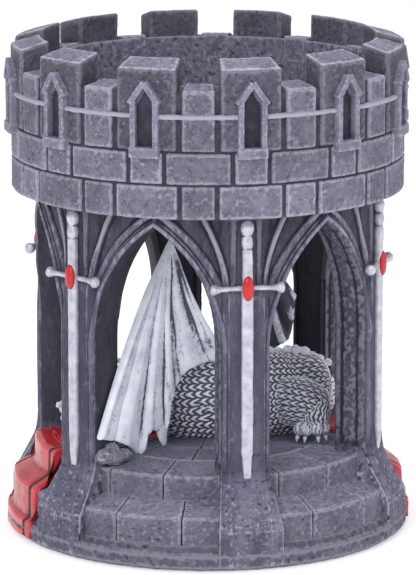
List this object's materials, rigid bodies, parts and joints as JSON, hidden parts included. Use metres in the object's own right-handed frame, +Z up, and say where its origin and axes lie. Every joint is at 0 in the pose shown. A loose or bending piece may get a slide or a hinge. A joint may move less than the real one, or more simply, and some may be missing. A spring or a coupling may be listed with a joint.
{
  "type": "dice tower",
  "caption": "Round castle dice tower: stepped base, six pillars with pointed arches, crenellated bowl, resting dragon and swords.",
  "frame": {"origin": "centre of the footprint, on the table surface under the felt pad", "axes": "+Z up along the tower; the two carpets run out along +X and -X; one sword pillar faces -Y"},
  "size_m": [0.129, 0.1288, 0.1578],
  "materials": {
    "felt_pad": "matt black felt",
    "dark_stone": "cast resin painted as dark stone, dry-brushed grey",
    "step_stone": "cast resin painted as worn flagstones",
    "parapet_stone": "cast resin painted as lilac-grey stone with dark joints",
    "red_carpet": "satin-gloss red paint with a black border line",
    "sword_silver": "cast resin with satin silver paint",
    "red_gem": "gloss red enamel",
    "dragon_hide": "cast resin painted white-silver with a black wash"
  },
  "bodies": {
    "root": {"arcade_arches": "dark_stone", "base_felt": "felt_pad", "base_plinth": "dark_stone", "carpet_left": "red_carpet", "carpet_right": "red_carpet", "carpet_runner": "red_carpet", "dragon_body": "dragon_hide", "dragon_far_wing": "dragon_hide", "dragon_forepaw": "dragon_hide", "dragon_head": "dragon_hide", "dragon_hind_leg": "dragon_hide", "dragon_near_wing": "dragon_hide", "dragon_neck": "dragon_hide", "dragon_tail": "dragon_hide", "lower_step": "step_stone", "merlon_01": "parapet_stone", "merlon_02": "parapet_stone", "merlon_03": "parapet_stone", "merlon_04": "parapet_stone", "merlon_05": "parapet_stone", "merlon_06": "parapet_stone", "merlon_07": "parapet_stone", "merlon_08": "parapet_stone", "merlon_09": "parapet_stone", "merlon_10": "parapet_stone", "merlon_11": "parapet_stone", "merlon_12": "parapet_stone", "niche_frame_01": "parapet_stone", "niche_frame_02": "parapet_stone", "niche_frame_03": "parapet_stone", "niche_frame_04": "parapet_stone", "niche_frame_05": "parapet_stone", "niche_frame_06": "parapet_stone", "niche_frame_07": "parapet_stone", "niche_frame_08": "parapet_stone", "niche_frame_09": "parapet_stone", "niche_frame_10": "parapet_stone", "niche_frame_11": "parapet_stone", "niche_frame_12": "parapet_stone", "parapet_wall": "parapet_stone", "pillar_1": "dark_stone", "pillar_2": "dark_stone", "pillar_3": "dark_stone", "pillar_4": "dark_stone", "pillar_5": "dark_stone", "pillar_6": "dark_stone", "sword_1": "sword_silver", "sword_2": "sword_silver", "sword_3": "sword_silver", "sword_4": "sword_silver", "sword_5": "sword_silver", "sword_6": "sword_silver", "sword_gem_1": "red_gem", "sword_gem_2": "red_gem", "sword_gem_3": "red_gem", "sword_gem_4": "red_gem", "sword_gem_5": "red_gem", "sword_gem_6": "red_gem", "upper_floor": "step_stone"}
  },
  "joints": []
}
